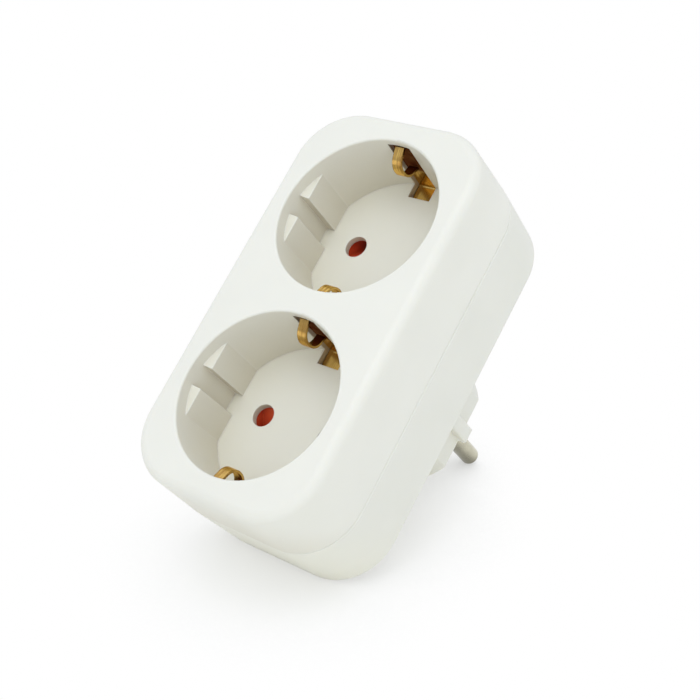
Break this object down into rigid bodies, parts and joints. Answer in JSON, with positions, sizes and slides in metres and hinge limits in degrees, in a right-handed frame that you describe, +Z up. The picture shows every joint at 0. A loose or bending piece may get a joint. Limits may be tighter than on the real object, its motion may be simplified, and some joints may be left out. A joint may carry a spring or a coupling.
{
  "type": "multi socket adapter",
  "caption": "White adapter with earthed round socket wells on its front, spring-shuttered pin holes, and a round plug body with pins on its back.",
  "frame": {"origin": "centre of the bounding box on the table plane that the adapter rests on", "axes": "+X across the body, from its left to its right; +Z up; the socket face looks towards -Y and up, because the adapter leans on its lower back edge and its two pin tips"},
  "size_m": [0.0516, 0.0976, 0.0928],
  "materials": {
    "front_plastic": "satin moulded",
    "rear_plastic": "satin moulded",
    "pin_metal": "nickel plated",
    "busbar_brass": "stamped",
    "contact_brass": "stamped",
    "rivet_brass": "turned",
    "earth_brass": "stamped, bright",
    "plug_earth_metal": "nickel plated",
    "shutter_red": "moulded",
    "tray_plastic": "moulded",
    "spring_steel": "drawn wire",
    "screw_steel": "zinc plated"
  },
  "bodies": {
    "housing": {"front_housing": "front_plastic", "rear_cover": "rear_plastic", "right_plug_pin": "pin_metal", "left_plug_pin": "pin_metal", "right_busbar": "busbar_brass", "left_busbar": "busbar_brass", "upper_right_contact": "contact_brass", "lower_right_contact": "contact_brass", "upper_left_contact": "contact_brass", "lower_left_contact": "contact_brass", "contact_rivets": "rivet_brass", "upper_earth_strap": "earth_brass", "lower_earth_strap": "earth_brass", "earth_link": "earth_brass", "plug_earth_strap": "plug_earth_metal", "earth_sleeve": "plug_earth_metal", "earth_rivet": "rivet_brass", "upper_shutter_tray": "tray_plastic", "lower_shutter_tray": "tray_plastic", "upper_shutter_spring": "spring_steel", "lower_shutter_spring": "spring_steel", "housing_screws": "screw_steel"},
    "upper_shutter": {"upper_shutter": "shutter_red"},
    "lower_shutter": {"lower_shutter": "shutter_red"}
  },
  "joints": [
    {"name": "upper_shutter_slide", "type": "slide", "parent": "housing", "child": "upper_shutter", "axis": [0, -0.7465, -0.6654], "range_m": [0, 0.0062], "stiffness_N_per_m": 300, "springref_m": -0.005, "deforming": ["upper_shutter_spring"]},
    {"name": "lower_shutter_slide", "type": "slide", "parent": "housing", "child": "lower_shutter", "axis": [0, 0.7465, 0.6654], "range_m": [0, 0.0062], "stiffness_N_per_m": 300, "springref_m": -0.005, "deforming": ["lower_shutter_spring"]}
  ]
}
